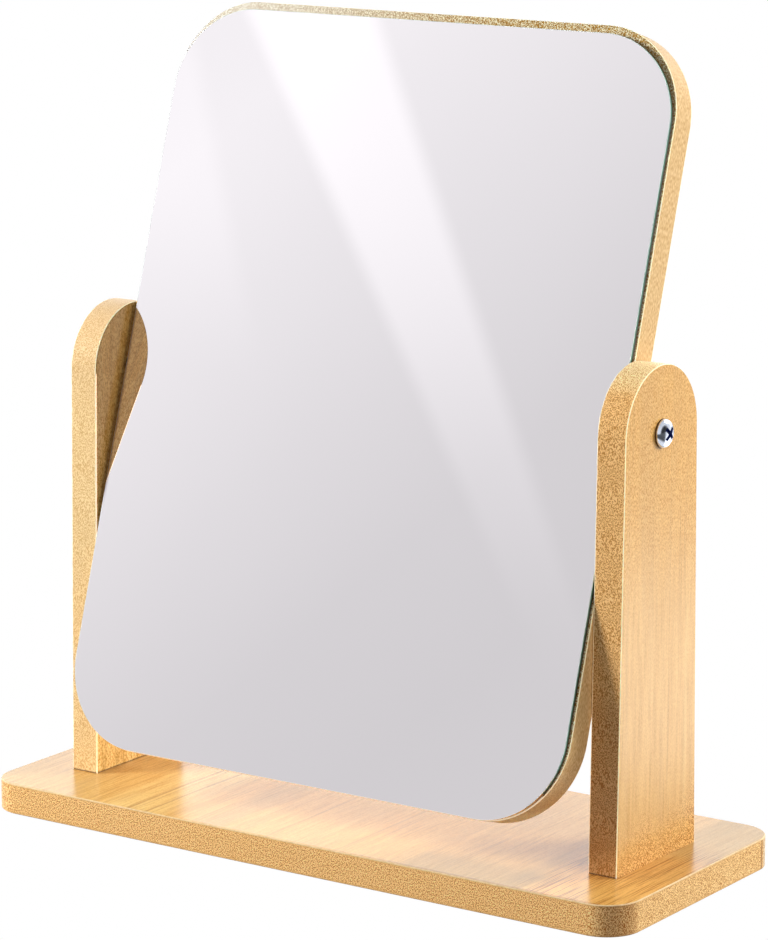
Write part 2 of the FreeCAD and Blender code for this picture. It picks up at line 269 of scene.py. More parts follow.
def makeFoil(
    name,
    along,
    mean,
    turn=(0, 0, 0),
    move=(0, 0, 0),
    streak=1.0,
    mottle=0.5,
    fine=1.0,
    plainTop=None,
    foot=None,
    marks=(),
):
    material, tree, shader = startMaterial(name, IOR=1.5)
    mean = times(mean, tuple(1 / (1 - share * mottle / 2) for share in foilSet["speck"]))

    def drawn(pattern, *settings, finer=1.0):
        length, scale = foilSet[pattern]
        stretch = [1.0, 1.0, 1.0]
        stretch["XYZ".index(along)] = length
        return noise(tree, place(tree, turn, stretch, move), scale * finer, *settings)

    streaks = drawn("streaks", 3.0, 0.62, 0.3, finer=fine)
    tone = drawn("tone", 2.0, 0.5, 0.6)
    lines = drawn("lines", 1.0, 0.5)
    where = drawn("where", 1.0, 0.5, 0.5)
    grit = drawn("grit", 1.0, 0.7)
    speckled = 1.0
    if plainTop:
        # near the top the streaks fade and the speckle takes over
        upper = softStep(tree, axes(tree)["Z"], *plainTop)
        fade = mixLevels(tree, upper, 1.0, foilSet["plainStreak"])
        streaks = sums(tree, "MULTIPLY_ADD", sums(tree, "SUBTRACT", streaks, 0.5), fade, 0.5)
        speckled = mixLevels(tree, upper, foilSet["plainSpeckle"], 1.0)
        marks = (*marks, (lambda inTree: sums(inTree, "SUBTRACT", 1.0, upper), foilSet["upper"]))
    colour = ramp(
        tree,
        streaks,
        (
            (0.5 - 0.18 / streak, times(mean, foilSet["deep"])),
            (0.5, mean),
            (0.5 + 0.16 / streak, times(mean, foilSet["light"])),
        ),
    )
    band = ramp(tree, tone, ((0.5, 0.0), (0.66, foilSet["toneShare"] * streak)))
    colour = blendColour(tree, band, colour, times(mean, foilSet["band"]))
    dark = ramp(tree, lines, ((0.61, 0.0), (0.68, foilSet["lineShare"])))
    accent = product(tree, dark, ramp(tree, where, ((0.52, 0.0), (0.6, 1.0))), streak)
    colour = blendColour(tree, accent, colour, times(mean, foilSet["line"]))
    for mark, paint in marks:
        colour = blendColour(tree, mark(tree), colour, paint, "MULTIPLY")
    speck = tuple(1 - share * mottle for share in foilSet["speck"])
    colour = blendColour(tree, speckled, colour, ramp(tree, grit, ((0.42, speck), (0.58, (1, 1, 1)))), "MULTIPLY")
    if foot:
        # towards the foot the print grows dotted, and deeper and more orange as painted shade and bounce from the
        # base
        parts = axes(tree)
        rising = sums(tree, "MULTIPLY_ADD", parts["Y"], foilSet["footLean"], parts["Z"])
        rising = sums(tree, "MULTIPLY_ADD", where, foilSet["footWander"], rising)
        low = softStep(tree, rising, foot[1], foot[0])
        dots = noise(tree, place(tree, move=move), foilSet["dots"], 1.0, 0.6)
        shades = [times(mean, foilSet[key]) for key in ("dot", "foot", "paleDot")]
        colour = blendColour(tree, low, colour, ramp(tree, dots, tuple(zip((0.43, 0.5, 0.56), shades))))
    tree.links.new(colour, shader.inputs["Base Color"])
    tree.links.new(sums(tree, "MULTIPLY_ADD", streaks, -0.08, foilSet["gloss"] + 0.04), shader.inputs["Roughness"])
    bumpInto(tree, shader, lines, *foilSet["bump"])
    return material


# marks: each gives a builder of a mask between 0 and 1, and a material multiplies its colour by the mark's there
printSet = {
    "flecks": 2100,
    "pores": 2300,
    "poreLength": 0.02,
    "sway": 160,  # how the sides of a printed patch wander
    "swayLength": 0.12,
    "swayWide": mm(12),
    "lineSway": 90,
    "lineSwayWide": mm(4),
    "grainSoft": mm(6),
    "joint": (mm(12.7), mm(12.3)),
    "jointShare": 0.75,
}


def heightFade(low, high):
    return lambda tree: softStep(tree, axes(tree)["Z"], low, high)


def sideFade(low, high, strength=1.0):
    return lambda tree: product(tree, softStep(tree, axes(tree)["X"], low, high), strength)


def topFlecks(low, high):
    # dark flecks on the upper edge only
    def build(tree):
        flecks = ramp(tree, noise(tree, place(tree), printSet["flecks"], 0.0, 0.5), ((0.44, 1.0), (0.54, 0.0)))
        return product(tree, heightFade(low, high)(tree), flecks)

    return build


def printAndLightPatch(acrossFrom, acrossTo, alongFrom, alongTo, strength, soft):
    # a patch on the base board, for print and for painted light and shade: across is X, along is Y, with soft ends
    def build(tree):
        sway = noise(tree, place(tree, stretch=(1, printSet["swayLength"], 1)), printSet["sway"], 2.0, 0.5)
        parts = axes(tree)
        across = sums(tree, "MULTIPLY_ADD", sums(tree, "SUBTRACT", sway, 0.5), printSet["swayWide"], parts["X"])
        return product(
            tree,
            softStep(tree, across, acrossFrom - soft, acrossFrom + soft),
            softStep(tree, across, acrossTo + soft, acrossTo - soft),
            softStep(tree, parts["Y"], alongFrom - soft, alongFrom + soft),
            softStep(tree, parts["Y"], alongTo + soft, alongTo - soft),
            strength,
        )

    return build


def printedGrain(acrossFrom, acrossTo, alongFrom, alongTo, strength):
    # fine dark pores that run along Y
    def build(tree):
        pores = noise(tree, place(tree, stretch=(1, printSet["poreLength"], 1)), printSet["pores"], 1.0, 0.5, 0.2)
        patch = printAndLightPatch(acrossFrom, acrossTo, alongFrom, alongTo, strength, printSet["grainSoft"])(tree)
        return product(tree, ramp(tree, pores, ((0.53, 0.0), (0.62, 1.0))), patch)

    return build


def printedLine(across, width, strength):
    # one long thin line of grain
    def build(tree):
        sway = noise(tree, place(tree, stretch=(0.2, 0.1, 1)), printSet["lineSway"], 1.0, 0.5)
        sway = sums(tree, "SUBTRACT", sway, 0.5)
        middle = sums(tree, "MULTIPLY_ADD", sway, printSet["lineSwayWide"], axes(tree)["X"])
        away = sums(tree, "ABSOLUTE", sums(tree, "SUBTRACT", middle, across))
        line = node(tree, "ShaderNodeMapRange", {"Value": away, 1: width, 2: width * 0.3}).outputs[0]
        return product(tree, line, strength)

    return build


def frontEdgeLine(front, back, xFrom, xTo, strength):
    # a thin brown line along the front edge of the top, growing to the right
    def build(tree):
        parts = axes(tree)
        near = softStep(tree, parts["Y"], back, (front + back) / 2)
        return product(tree, near, softStep(tree, parts["X"], xFrom, xTo), strength)

    return build


def postStripe(across, width, high, low, strength):
    # a paler strip of print near the rear edge, in the lower half
    def build(tree):
        parts = axes(tree)
        away = sums(tree, "ABSOLUTE", sums(tree, "SUBTRACT", parts["Y"], across))
        stripe = softStep(tree, away, width, width * 0.4)
        return product(tree, stripe, softStep(tree, parts["Z"], high, low), strength)

    return build


def rimBand(low, high, strength, soft=mm(0.2), right=(mm(120), mm(125))):
    # an upright band on the right end of the base's edge, from low to high along Y
    def build(tree):
        parts = axes(tree)
        begins = softStep(tree, parts["Y"], low - soft, low + soft)
        ends = softStep(tree, parts["Y"], high + soft, high - soft)
        return product(tree, begins, ends, softStep(tree, parts["X"], *right), strength)

    return build


def jointShadowLine(tree):
    # painted contact shadow: the dark line where a post stands on the base
    return product(tree, softStep(tree, axes(tree)["Z"], *printSet["joint"]), printSet["jointShare"])


# bare fibreboard, as sawn and sanded: pale and brown flecks in a golden ground, denser and darker near the faces
rawSet = {
    "brown": (0.58, 0.36, 0.05),
    "pale": (1.22, 1.38, 1.62),
    "skin": (0.80, 0.72, 0.62),
    "skinDeep": (mm(1.4), mm(0.8)),
    "skinShare": 0.5,
    "clumps": 260,
    "lump": (0.03, 0.048, 0.066),
    "gloss": 0.45,
    "bump": (0.14, mm(0.3)),
}


def makeRaw(
    name, ground, contrast, turn=(0, 0, 0), skin=None, size=3200, grain=1.0, covers=(), marks=()
):
    material, tree, shader = startMaterial(
        name,
        IOR=1.45,
        Roughness=rawSet["gloss"],
        Sheen_Weight=0.3,
        Sheen_Roughness=0.4,
        Sheen_Tint=(1, 0.87, 0.66, 1),
    )
    flecks = noise(tree, place(tree, turn, (1, 1, grain)), size, 0.0, 0.5)
    clumps = noise(tree, place(tree, turn), rawSet["clumps"], 2.0, 0.5)
    brown = times(ground, tuple(1 + (b - 1) * contrast for b in rawSet["brown"]))
    pale = times(ground, tuple(1 + (p - 1) * contrast for p in rawSet["pale"]))
    colour = ramp(tree, flecks, ((0.43, brown), (0.49, ground), (0.51, ground), (0.57, pale)))
    lump = tuple(1 - contrast * share for share in rawSet["lump"])
    colour = blendColour(tree, 1.0, colour, ramp(tree, clumps, ((0.3, lump), (0.6, (1, 1, 1)))), "MULTIPLY")
    if skin:
        # the board is denser and darker near its two faces
        axis, middle, half = skin
        away = sums(tree, "ABSOLUTE", sums(tree, "SUBTRACT", axes(tree, turn)[axis], middle))
        near = softStep(tree, away, *(half - depth for depth in rawSet["skinDeep"]))
        colour = blendColour(tree, product(tree, near, rawSet["skinShare"]), colour, times(ground, rawSet["skin"]))
    for cover, paint in covers:
        colour = blendColour(tree, cover(tree), colour, paint)
    for mark, paint in marks:
        colour = blendColour(tree, mark(tree), colour, paint, "MULTIPLY")
    tree.links.new(colour, shader.inputs["Base Color"])
    strength, distance = rawSet["bump"]
    bumpInto(tree, shader, flecks, strength * contrast, distance)
    return material


# the rounded arris where the foil ends: its pale core shows, and light from the faces beside it passes through; its
# glow is painted light that brightens the edge where it lies in shade
def makeArris(name, dark, light, through, glow=0.0, glowColour=(1, 0.82, 0.52)):
    material, tree, shader = startMaterial(
        name,
        IOR=1.4,
        Emission_Color=(*glowColour, 1),
        Emission_Strength=glow,
        Roughness=0.5,
        Subsurface_Weight=through,
        Subsurface_Scale=0.003,
        Subsurface_Radius=(1.0, 0.85, 0.6),
    )
    grain = noise(tree, place(tree), 900, 2.0, 0.6)
    tree.links.new(ramp(tree, grain, ((0.3, dark), (0.6, light))), shader.inputs["Base Color"])
    return material


def makeMetal(name, dark, light, scale, roughness):
    material, tree, shader = startMaterial(name, Metallic=1.0)
    grain = noise(tree, place(tree), scale, 3.0, 0.6)
    tree.links.new(ramp(tree, grain, ((0.3, dark), (0.7, light))), shader.inputs["Base Color"])
    tree.links.new(sums(tree, "MULTIPLY_ADD", grain, 0.12, roughness - 0.06), shader.inputs["Roughness"])
    bumpInto(tree, shader, grain, 0.04, 0.0001)
    return material


def makePlastic(name, dark, light, scale, roughness, bump):
    material, tree, shader = startMaterial(name)
    grain = noise(tree, place(tree), scale, 3.0, 0.6)
    tree.links.new(ramp(tree, grain, ((0.3, dark), (0.7, light))), shader.inputs["Base Color"])
    tree.links.new(sums(tree, "MULTIPLY_ADD", grain, 0.2, roughness - 0.1), shader.inputs["Roughness"])
    bumpInto(tree, shader, grain, bump, 0.0003)
    return material


# the silvered face: nearly perfect, with the faintest float ripple
silverSet = {
    "dark": (0.955, 0.945, 0.955),
    "light": (0.97, 0.96, 0.97),
    # a painted reflection of the dark gap beside the left post, darkening the silver
    "band": (mm(-109.2), mm(-110.6)),
    "low": (mm(118), mm(132)),
    "high": (mm(196), mm(190)),
    "reflectedShade": (0.40, 0.36, 0.40),
}


def makeSilver(name, s):
    material, tree, shader = startMaterial(name, Metallic=1.0, Roughness=0.0)
    drift = noise(tree, place(tree), 9, 2.0, 0.5)
    colour = ramp(tree, drift, ((0.3, s["dark"]), (0.7, s["light"])))
    # painted reflection: a narrow band of the silver beside the left post is darkened, for the dark gap the mirror
    # shows there
    parts = axes(tree)
    beside = product(tree, softStep(tree, parts["Z"], *s["low"]), softStep(tree, parts["Z"], *s["high"]))
    band = product(tree, softStep(tree, parts["X"], *s["band"]), beside)
    colour = blendColour(tree, band, colour, s["reflectedShade"], "MULTIPLY")
    tree.links.new(colour, shader.inputs["Base Color"])
    return material


# the glass edge: the backing paint laps over its rear half
edgeSet = {
    "front": mm(8.6),
    "paint": (mm(0.8), mm(1.2)),
    "paintColour": (0.035, 0.022, 0.010),
}


def makeGlassEdge(name, dark, light, roughness, shine, s):
    material, tree, shader = startMaterial(name, Roughness=roughness, IOR=1.52, Specular_IOR_Level=shine)
    wave = noise(tree, place(tree), 120, 2.0, 0.6)
    colour = ramp(tree, wave, ((0.35, dark), (0.65, light)))
    front = pivotHeight * -math.sin(tilt) - s["front"]
    painted = softStep(tree, axes(tree, leanBack)["Y"], *(front + depth for depth in s["paint"]))
    colour = blendColour(tree, painted, colour, s["paintColour"])
    tree.links.new(colour, shader.inputs["Base Color"])
    return material


# painted contact shadow at each post's foot, shared by the post materials
jointShadowMark = ((jointShadowLine, (0.12, 0.08, 0.06)),)
baseMean = (0.69, 0.42, 0.13)
postMean = (0.69, 0.375, 0.10)
baseFoil = makeFoil(
    "base foil",
    "Y",
    baseMean,
    streak=1.0,
    mottle=0.4,
    fine=1.5,
    marks=(
        (frontEdgeLine(mm(-57.0), mm(-55.4), mm(-10), mm(60), 0.8), (0.66, 0.60, 0.50)),
        (printAndLightPatch(mm(-86), mm(-60), mm(-60), mm(60), 0.7, mm(6)), (1.18, 1.42, 1.85)),
        # painted light: lifts the shadow of the mirror and left post behind the left post's foot
        (printAndLightPatch(mm(-116), mm(-87), mm(-13), mm(60), 0.8, mm(6)), (1.26, 1.36, 1.65)),
        (printAndLightPatch(mm(122), mm(160), mm(8), mm(70), 0.7, mm(8)), (0.80, 0.82, 0.82)),
        # painted reflection: the middle of the top is paler, for the sheen of the bright room it mirrors
        (printAndLightPatch(mm(-52), mm(118), mm(-70), mm(70), 0.85, mm(7)), (1.17, 1.14, 1.15)),
        (printAndLightPatch(mm(15), mm(118), mm(-70), mm(5), 1.0, mm(8)), (1.06, 1.02, 0.88)),
        (printAndLightPatch(mm(92), mm(118), mm(-49), mm(20), 0.45, mm(8)), (0.66, 0.60, 0.60)),
        # painted shadow of the right post, reaching the front edge
        (printAndLightPatch(mm(50), mm(107), mm(-75), mm(-36), 0.85, mm(8)), (0.68, 0.70, 0.76)),
        (printAndLightPatch(mm(-45), mm(-30), mm(-70), mm(70), 0.4, mm(4)), (0.70, 0.75, 1.0)),
        # painted reflection: warmer and more orange where the top mirrors the right post
        (printAndLightPatch(mm(106), mm(160), mm(-80), mm(6), 0.85, mm(9)), (1.10, 0.96, 0.76)),
        (printedGrain(mm(100), mm(160), mm(-80), mm(20), 1.0), (0.56, 0.43, 0.30)),
        (printedGrain(mm(-160), mm(-40), mm(-80), mm(80), 0.5), (0.66, 0.56, 0.48)),
        (printedGrain(mm(-40), mm(118), mm(-80), mm(80), 0.2), (0.66, 0.58, 0.52)),
        (printedLine(mm(-74.5), mm(1.0), 0.8), (0.58, 0.50, 0.45)),
        (printedLine(mm(-72.2), mm(0.6), 0.5), (0.60, 0.52, 0.45)),
        (printedLine(mm(-66), mm(0.9), 0.7), (0.58, 0.50, 0.45)),
        (printedLine(mm(-10), mm(0.8), 0.4), (0.60, 0.55, 0.55)),
        (printedLine(mm(22), mm(0.7), 0.3), (0.60, 0.55, 0.55)),
    ),
)
outerFoil = makeFoil(
    "post outer foil",
    "Z",
    postMean,
    move=(0.3, 0.1, 0),
    streak=0.95,
    mottle=1.3,
    plainTop=(mm(95), mm(150)),
    foot=(mm(17), mm(50)),
    marks=(*jointShadowMark, (postStripe(mm(19.5), mm(1.4), mm(130), mm(80), 0.9), (1.05, 1.12, 1.22))),
)
innerFoil = makeFoil(
    "post inner foil",
    "Z",
    (0.70, 0.37, 0.095),
    move=(0.7, 0.4, 0),
    streak=1.7,
    mottle=1.3,
    marks=(
        *jointShadowMark,
        # painted light: paler towards the foot, from the base's bounce, and a little paler below mid height
        (heightFade(mm(75), mm(30)), (1.25, 1.48, 1.75)),
        (heightFade(mm(158), mm(120)), (1.06, 1.10, 1.25)),
    ),
)
backFoil = makeFoil("mirror board foil", "Z", postMean, turn=leanBack, move=(0.2, 0.9, 0))
rawGround = (1.0, 0.60, 0.225)
rawBase = makeRaw(
    "bare base edge",
    rawGround,
    1.1,
    skin=("Z", mm(6), mm(6)),
    size=2800,
    grain=0.75,
    marks=(
        (sideFade(mm(138), mm(143)), (0.87, 0.89, 0.88)),
        # painted shade on the rounded front-right corner, which neither lamp reaches
        (rimBand(mm(-70), mm(-45.5), 1.0, mm(2.5), (mm(132), mm(140))), (0.70, 0.63, 0.57)),
        # painted highlight: a pale strip at the rear-right corner where the grazing edge catches the light
        (rimBand(mm(46), mm(60), 0.55), (1.05, 1.4, 2.6)),
        (rimBand(mm(44.2), mm(45.2), 0.85), (0.40, 0.27, 0.18)),
    ),
)
rawRight = makeRaw(
    "bare right edge",
    (0.89, 0.52, 0.195),
    0.85,
    grain=0.55,
    marks=(
        *jointShadowMark,
        # painted light: paler at the round top, as if lit from above
        (heightFade(mm(185), mm(193)), (1.14, 1.42, 1.8)),
        # painted shade: darker below about mid height, deepening the mirror's shadow on the front
        (heightFade(mm(86), mm(66)), (0.86, 0.84, 0.88)),
        # painted shade: darker towards the foot
        (heightFade(mm(30), mm(14)), (0.84, 0.80, 0.78)),
    ),
)
rawLeft = makeRaw(
    "bare left edge",
    (0.91, 0.64, 0.31),
    0.45,
    grain=0.5,
    # painted shade: darker towards the round top
    marks=(*jointShadowMark, (heightFade(mm(150), mm(190)), (0.90, 0.88, 0.93))),
)
rawSide = makeRaw(
    "bare mirror side",
    (0.69, 0.45, 0.195),
    0.42,
    leanBack,
    size=2600,
    grain=0.25,
    marks=(
        # painted light: paler towards the bottom and palest at the lower edge, where it lies in shade
        (heightFade(mm(62), mm(42)), (1.3, 1.38, 1.6)),
        (heightFade(mm(39), mm(33)), (1.2, 1.5, 2.0)),
    ),
)
rawFront = makeRaw(
    "bare mirror front",
    (0.76, 0.62, 0.36),
    0.95,
    leanBack,
    size=2200,
    covers=(
        # painted light: the front band is paler towards the left, where the key light falls, and palest at the left
        # end
        (sideFade(mm(40), mm(-95), 0.85), (0.90, 0.87, 0.77)),
        (sideFade(mm(-100), mm(-107)), (0.95, 0.94, 0.94)),
    ),
    marks=(
        (topFlecks(mm(262), mm(275)), (0.68, 0.60, 0.50)),
        # painted light: paler at the bottom edge, which faces down into shade
        (heightFade(mm(36), mm(31)), (1.3, 1.5, 2.0)),
    ),
)
# painted light: the post and board arris glows faintly
postArris = makeArris("pale post arris", (0.97, 0.74, 0.44), (1.0, 0.86, 0.60), 1.0, 0.25)
# painted highlight: the worn inner edge glows strongly as a bright line
wornGlowEdge = makeArris("worn foil edge, painted glow", (0.97, 0.72, 0.42), (1.0, 0.82, 0.54), 0.3, 1.2, (1, 0.90, 0.72))
# painted light: the mirror board's lower front arris glows where it faces down into shade
lowGlowEdge = makeArris("mirror low edge", (0.85, 0.62, 0.40), (1.0, 0.80, 0.55), 0.3, 0.55, (1, 0.76, 0.54))
baseArris = makeArris("pale base arris", (0.72, 0.50, 0.26), (0.90, 0.66, 0.38), 0.2)
silver = makeSilver("silvered face", silverSet)
glassEdge = makeGlassEdge("ground glass edge", (0.03, 0.12, 0.075), (0.09, 0.22, 0.15), 0.3, 0.2, edgeSet)
glassArris = makeGlassEdge("polished glass arris", (0.62, 0.74, 0.70), (0.85, 0.92, 0.90), 0.1, 0.5, edgeSet)
zinc = makeMetal("blue zinc plate", (0.64, 0.71, 0.86), (0.82, 0.87, 0.97), 900, 0.16)
recess = makeMetal("recess in shade", (0.06, 0.09, 0.26), (0.20, 0.27, 0.62), 900, 0.35)
rimShade = makeMetal("rim in shade", (0.10, 0.06, 0.03), (0.20, 0.13, 0.07), 900, 0.4)
brass = makeMetal("turned brass", (0.72, 0.55, 0.26), (0.84, 0.68, 0.36), 1200, 0.3)
steel = makeMetal("plated steel", (0.62, 0.63, 0.62), (0.78, 0.78, 0.76), 900, 0.28)
foam = makePlastic("tape foam", (0.02, 0.02, 0.02), (0.06, 0.06, 0.06), 1500, 0.85, 0.3)
nylon = makePlastic("dark nylon", (0.022, 0.017, 0.013), (0.05, 0.04, 0.032), 500, 0.6, 0.05)
print("materials made:", len(bpy.data.materials))


# how far a face's normal points along an axis when the face is square to that axis, and when it runs along it
squareOn = 0.98
edgeOn = 0.02


# boards: a block with rounded corners and a small rounding along every edge


def roundedBlock(name, size, cornerRadius, cornerSteps, edgeRadius, edgeSteps, centre, upright=False):
    # size is width, length and thickness; it lies flat, or stands with its thickness along Y
    clearSelection()
    bpy.ops.mesh.primitive_cube_add(size=1)
    block = nameNew(name)
    block.scale = size
    settle(block)
    openMesh(block)
    pick(block, "EDGE", lambda edge: abs(edge.verts[0].co.z - edge.verts[1].co.z) > size[2] / 2)
    bpy.ops.mesh.bevel(offset=cornerRadius, segments=cornerSteps, profile=0.5, affect="EDGES")
    pick(block, "EDGE", lambda edge: abs(edge.verts[0].co.z - edge.verts[1].co.z) < 1e-6)
    bpy.ops.mesh.bevel(offset=edgeRadius, segments=edgeSteps, profile=0.5, affect="EDGES")
    closeMesh()
    if upright:
        block.rotation_euler = (math.radians(90), 0, 0)
        settle(block)
    block.location = centre
    settle(block)
    return block


baseBoardSet = {
    "width": mm(288),
    "depth": mm(115),
    "thick": mm(12),
    "corner": mm(14),
    "arris": mm(0.5),
    "screwAcross": mm(118.85),
    "screwAlong": mm(15),
    "screwHole": mm(2.2),
    "drillLength": mm(30),
    "countersink": mm(4.3),
    "sinkBelow": mm(1),
    "topArris": mm(11),
}


def makeBaseBoard(s):
    board = roundedBlock(
        "baseBoard", (s["width"], s["depth"], s["thick"]), s["corner"], 18, s["arris"], 4, (0, 0, s["thick"] / 2)
    )
    for side in (-1, 1):
        for row in (-1, 1):
            spot = (side * s["screwAcross"], row * s["screwAlong"])
            clearSelection()
            bpy.ops.mesh.primitive_cylinder_add(
                vertices=32, radius=s["screwHole"], depth=s["drillLength"], location=(*spot, s["thick"] / 2)
            )
            cutWith(board, nameNew("drill"))
            clearSelection()
            sink = s["countersink"] - s["screwHole"]
            bpy.ops.mesh.primitive_cone_add(
                vertices=32,
                radius1=s["countersink"] + s["sinkBelow"],
                radius2=s["screwHole"],
                depth=sink + s["sinkBelow"],
                location=(*spot, (sink - s["sinkBelow"]) / 2),
            )
            cutWith(board, nameNew("countersink"))
    smoothFaces(board)

    def finish(centre, normal):
        if abs(normal.z) > squareOn:
            return 0
        return 1 if abs(normal.z) < edgeOn or centre.z < s["topArris"] else 2

    faceSlots(board, (baseFoil, rawBase, baseArris), finish)
    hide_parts("base_board")
    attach(board, "stand")


makeBaseBoard(baseBoardSet)
print("base board made")


# posts: a tapered board whose top is a half round about the pivot
postSet = {
    "inner": mm(112.85),
    "thick": mm(12),
    "foot": mm(27.7),
    "footHeight": mm(12),
    "radius": mm(24.8),
    "steps": 192,
    "arris": mm(0.4),
    "wornGlow": mm(0.4),
    "bore": mm(2.575),
}


def makePost(name, side, raw, s):
    clearSelection()
    bpy.ops.mesh.primitive_circle_add(
        vertices=s["steps"], radius=s["radius"], rotation=(0, math.radians(90), 0), location=(0, 0, pivotHeight)
    )
    post = nameNew(name)
    settle(post)
    openMesh(post, "VERT")
    pick(post, "VERT", lambda vert: vert.co.z < pivotHeight - mm(0.1))  # keeps the upper half
    bpy.ops.mesh.delete(type="VERT")
    for end in (-1, 1):
        pick(post, "VERT", lambda vert: abs(vert.co.z - pivotHeight) < mm(0.1) and vert.co.y * end > 0)
        bpy.ops.mesh.extrude_vertices_move(
            TRANSFORM_OT_translate={"value": (0, end * (s["foot"] - s["radius"]), s["footHeight"] - pivotHeight)}
        )
    bpy.ops.mesh.select_all(action="SELECT")
    bpy.ops.mesh.edge_face_add()
    bpy.ops.mesh.extrude_region_move(TRANSFORM_OT_translate={"value": (s["thick"], 0, 0)})
    bpy.ops.mesh.select_all(action="SELECT")
    bpy.ops.transform.translate(value=(s["inner"], 0, 0))
    bpy.ops.mesh.normals_make_consistent(inside=False)
    pick(
        post,
        "EDGE",
        lambda edge: abs(edge.verts[0].co.x - edge.verts[1].co.x) < 1e-6
        and not all(vert.co.z < s["footHeight"] + 1e-5 for vert in edge.verts),
    )
    bpy.ops.mesh.bevel(offset=s["arris"], segments=4, profile=0.5, affect="EDGES")
    pick(post, "FACE", lambda face: face.normal.x < -squareOn)  # a ring where the foil is worn off the inner face; its strong glow is a painted highlight along the edge
    bpy.ops.mesh.inset(thickness=s["wornGlow"], depth=0)
    closeMesh()
    drillAcross(post, s["bore"], mm(40), (s["inner"] + s["thick"] / 2, 0, pivotHeight))
    if side < 0:
        post.scale = (-1, 1, 1)
        settle(post)
        openMesh(post, "FACE")
        bpy.ops.mesh.select_all(action="SELECT")
        bpy.ops.mesh.normals_make_consistent(inside=False)
        closeMesh()
    smoothFaces(post)
    bore = s["bore"] + mm(0.1)
    inside = s["radius"] - s["wornGlow"]

    def wornGlow(centre):
        reach = math.hypot(centre.y, centre.z - pivotHeight) if centre.z > pivotHeight else abs(centre.y)
        return centre.y < 0 and reach > inside

    def finish(centre, normal):
        if abs(normal.x) > squareOn:
            return 0 if normal.x * side > 0 else 4 if wornGlow(centre) else 3
        inBore = math.hypot(centre.y, centre.z - pivotHeight) < bore
        return 1 if abs(normal.x) < edgeOn or inBore else 2

    faceSlots(post, (outerFoil, raw, postArris, innerFoil, wornGlowEdge), finish)
    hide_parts("right_post" if side > 0 else "left_post")
    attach(post, "stand")


makePost("rightPost", 1, rawRight, postSet)
makePost("leftPost", -1, rawLeft, postSet)
print("posts made")


# the mirror: board and glass, made upright about the pivot and then leant back
mirrorSet = {
    "width": mm(224.6),
    "height": mm(292),
    "thick": mm(12),
    "corner": mm(34),
    "arris": mm(0.6),
    "drop": mm(1.7),
    "glassLeft": mm(-110.7),
    "glassRight": mm(111.9),
    "glassBottom": mm(-147.3),
    "glassTop": mm(140.9),
    "glassBack": mm(6.6),
    "glassThick": mm(2.0),
    "glassCorner": mm(33),
    "glassArris": mm(0.22),
    "insertHole": mm(4),
    "insertDeep": mm(15),
}


def leanMirror(piece):
    piece.rotation_euler = (-tilt, 0, 0)
    piece.location = (0, 0, pivotHeight)
    settle(piece)


def makeMirrorBoard(s):
    board = roundedBlock(
        "mirrorBoard", (s["width"], s["height"], s["thick"]), s["corner"], 32, s["arris"], 4, (0, 0, -s["drop"]), True
    )
    for side in (-1, 1):
        drillAcross(board, s["insertHole"], 2 * s["insertDeep"], (side * s["width"] / 2, 0, 0))
    smoothFaces(board)

    def finish(centre, normal):
        if abs(normal.y) > squareOn:
            return 0 if normal.y > 0 else 1
        if abs(normal.y) < edgeOn:
            return 2
        # the lower front arris faces down into shade and takes the glowing edge: painted light
        if normal.y < 0 and normal.z < -0.35:
            return 4
        return 1 if normal.y < -0.7 else 3

    faceSlots(board, (backFoil, rawFront, rawSide, postArris, lowGlowEdge), finish)
    leanMirror(board)
    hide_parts("mirror_board")
    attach(board, "mirror")


def makeGlass(s):
    width = s["glassRight"] - s["glassLeft"]
    height = s["glassTop"] - s["glassBottom"]
    middle = (
        (s["glassRight"] + s["glassLeft"]) / 2,
        -s["glassBack"] - s["glassThick"] / 2,
        (s["glassTop"] + s["glassBottom"]) / 2,
    )
    glass = roundedBlock(
        "mirrorGlass", (width, height, s["glassThick"]), s["glassCorner"], 32, s["glassArris"], 2, middle, True
    )
    smoothFaces(glass, 40)

    def finish(centre, normal):
        if abs(normal.y) > squareOn:
            return 0 if normal.y < 0 else 1
        if abs(normal.y) < 0.1:
            return 0 if normal.z < -0.6 else 1
        return 0 if normal.y < 0 and normal.z < -0.3 else 2

    faceSlots(glass, (silver, glassEdge, glassArris), finish)
    leanMirror(glass)
    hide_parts("mirror_glass")
    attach(glass, "mirror")


makeMirrorBoard(mirrorSet)
makeGlass(mirrorSet)
print("mirror made")


# pivot screws: a domed pan head with a rounded rim and a cross recess, on a threaded shank
screwSet = {
    "seat": mm(124.9),
    "head": mm(5.3),
    "rim": mm(0.7),
    "dome": mm(2.7),
    "domeSteps": 12,
    "span": mm(6.8),
    "slot": mm(1.8),
    "depth": mm(2.3),
    "narrow": 0.7,
    "wingTurns": (45, 135),
    "centre": mm(1.05),
    "centreNarrow": 0.4,
    "shallow": mm(0.12),
    "shank": mm(2.5),
    "length": mm(25),
    "pitch": mm(0.8),
    "thread": mm(0.32),
    "tip": 0.8,
    "sides": 64,
}


